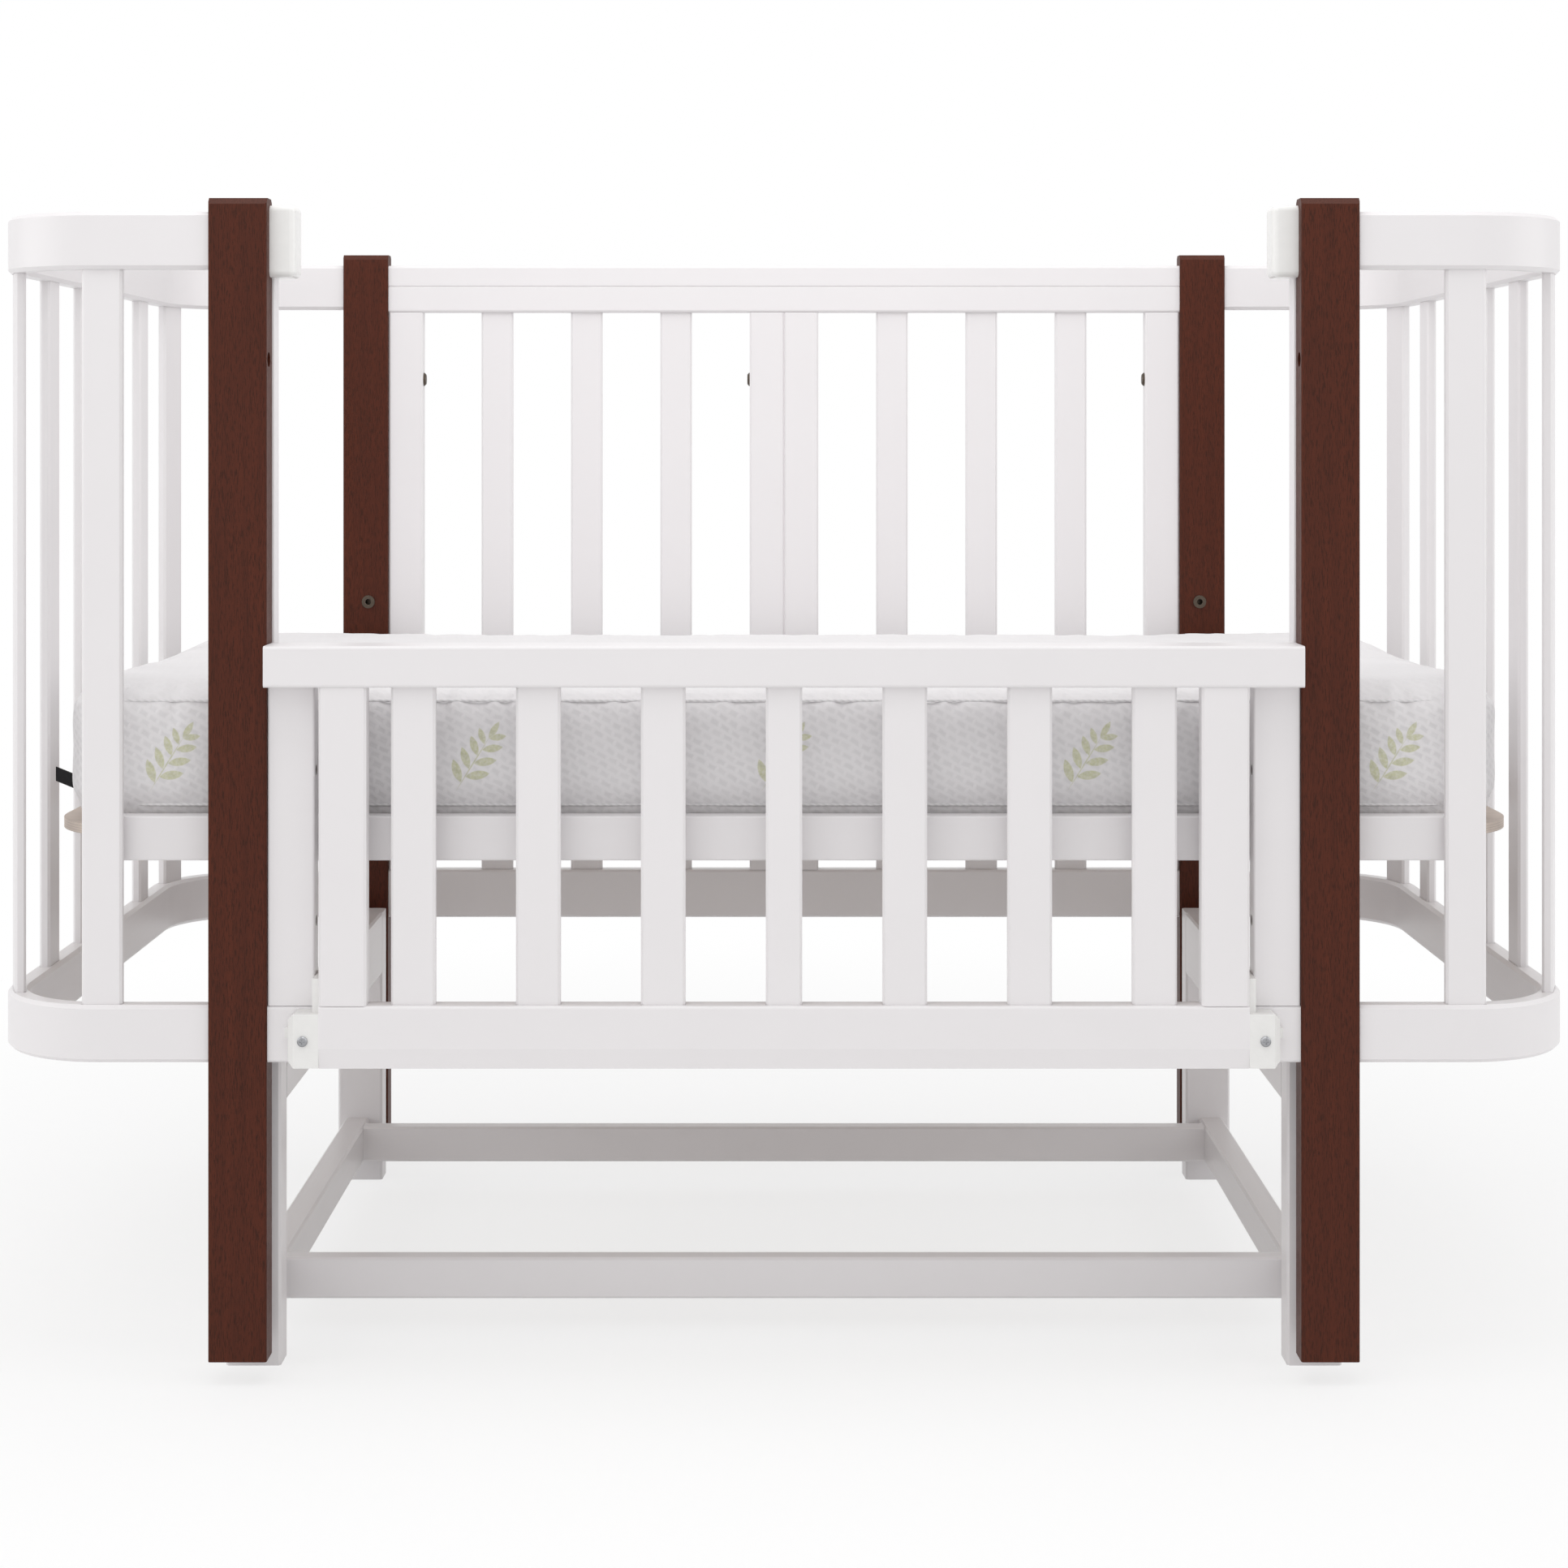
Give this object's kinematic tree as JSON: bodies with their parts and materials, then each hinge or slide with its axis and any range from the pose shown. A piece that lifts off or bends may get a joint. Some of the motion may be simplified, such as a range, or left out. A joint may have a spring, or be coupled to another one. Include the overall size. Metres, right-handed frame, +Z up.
{
  "type": "swinging baby cot",
  "caption": "Baby cot with rounded slatted ends that swings lengthwise on a low base; its front gate slides up to close the side, and its mattress lifts out.",
  "frame": {"origin": "on the floor, under the middle of the bounding box", "axes": "+Z up, front with the gate towards -Y, +X along the cot's length to the viewer's right"},
  "size_m": [1.292, 0.705, 0.953],
  "materials": {
    "dark_stained_wood": "satin stain",
    "white_lacquered_wood": "satin lacquer",
    "birch_plywood": "bare, sanded",
    "white_plastic": "moulded gloss",
    "steel": "zinc plated",
    "dark_steel": "bronzed",
    "mattress_cover": "knitted cover"
  },
  "bodies": {
    "base": {"base_front_stretcher": "white_lacquered_wood", "base_leg_front_left": "white_lacquered_wood", "base_leg_front_right": "white_lacquered_wood", "base_leg_rear_left": "white_lacquered_wood", "base_leg_rear_right": "white_lacquered_wood", "base_rear_stretcher": "white_lacquered_wood", "base_side_rail_left": "white_lacquered_wood", "base_side_rail_right": "white_lacquered_wood", "base_side_stretcher_left": "white_lacquered_wood", "base_side_stretcher_right": "white_lacquered_wood", "swing_pins_upper": "steel"},
    "links_left": {"swing_link_front_left": "steel", "swing_link_rear_left": "steel"},
    "links_right": {"swing_link_front_right": "steel", "swing_link_rear_right": "steel"},
    "cot": {"bed_battens": "birch_plywood", "bed_bolts": "dark_steel", "bed_deck": "birch_plywood", "bed_level_inserts": "dark_steel", "bed_rail_front": "white_lacquered_wood", "bed_rail_rear": "white_lacquered_wood", "bottom_end_rail_left": "white_lacquered_wood", "bottom_end_rail_right": "white_lacquered_wood", "end_slats_left": "white_lacquered_wood", "end_slats_right": "white_lacquered_wood", "front_bottom_rail": "white_lacquered_wood", "front_stile_left": "white_lacquered_wood", "front_stile_right": "white_lacquered_wood", "panel_bolts": "dark_steel", "post_front_left": "dark_stained_wood", "post_front_right": "dark_stained_wood", "post_liner_left": "white_lacquered_wood", "post_liner_right": "white_lacquered_wood", "post_rear_left": "dark_stained_wood", "post_rear_right": "dark_stained_wood", "rail_end_block_left": "white_plastic", "rail_end_block_right": "white_plastic", "rear_bottom_rail": "white_lacquered_wood", "rear_inner_stile_left": "white_lacquered_wood", "rear_inner_stile_right": "white_lacquered_wood", "rear_outer_stile_left": "white_lacquered_wood", "rear_outer_stile_right": "white_lacquered_wood", "rear_slats_left": "white_lacquered_wood", "rear_slats_right": "white_lacquered_wood", "rear_top_rail": "white_lacquered_wood", "swing_pins_lower": "steel", "top_end_rail_left": "white_lacquered_wood", "top_end_rail_right": "white_lacquered_wood"},
    "gate": {"gate_bottom_rail": "white_lacquered_wood", "gate_cap": "white_lacquered_wood", "gate_slats": "white_lacquered_wood", "gate_slider_left": "white_plastic", "gate_slider_right": "white_plastic", "gate_stile_left": "white_lacquered_wood", "gate_stile_right": "white_lacquered_wood", "slider_screws": "steel"},
    "latch_left": {"latch_pin_left": "steel"},
    "latch_right": {"latch_pin_right": "steel"},
    "mattress": {"mattress": "mattress_cover"}
  },
  "joints": [
    {"name": "swing", "type": "hinge", "parent": "base", "child": "links_left", "pos_m": [-0.435, 0, 0.25], "axis": [0, 1, 0], "range_deg": [-18, 18]},
    {"name": "swing_right", "type": "hinge", "parent": "base", "child": "links_right", "pos_m": [0.435, 0, 0.25], "axis": [0, 1, 0], "range_deg": [-18, 18]},
    {"name": "cot_level", "type": "hinge", "parent": "links_left", "child": "cot", "pos_m": [-0.435, 0, 0.15], "axis": [0, 1, 0], "range_deg": [-18, 18]},
    {"name": "gate_lift", "type": "slide", "parent": "cot", "child": "gate", "axis": [0, 0, 1], "range_m": [0, 0.245]},
    {"name": "latch_left", "type": "slide", "parent": "gate", "child": "latch_left", "axis": [-1, 0, 0], "range_m": [0, 0.009]},
    {"name": "latch_right", "type": "slide", "parent": "gate", "child": "latch_right", "axis": [1, 0, 0], "range_m": [0, 0.009]},
    {"name": "mattress_lift", "type": "slide", "parent": "cot", "child": "mattress", "axis": [0, 0, 1], "range_m": [0, 0.53]}
  ],
  "couplings": [
    {"joint": "swing_right", "follows": "swing", "ratio": 1},
    {"joint": "cot_level", "follows": "swing", "ratio": -1}
  ]
}
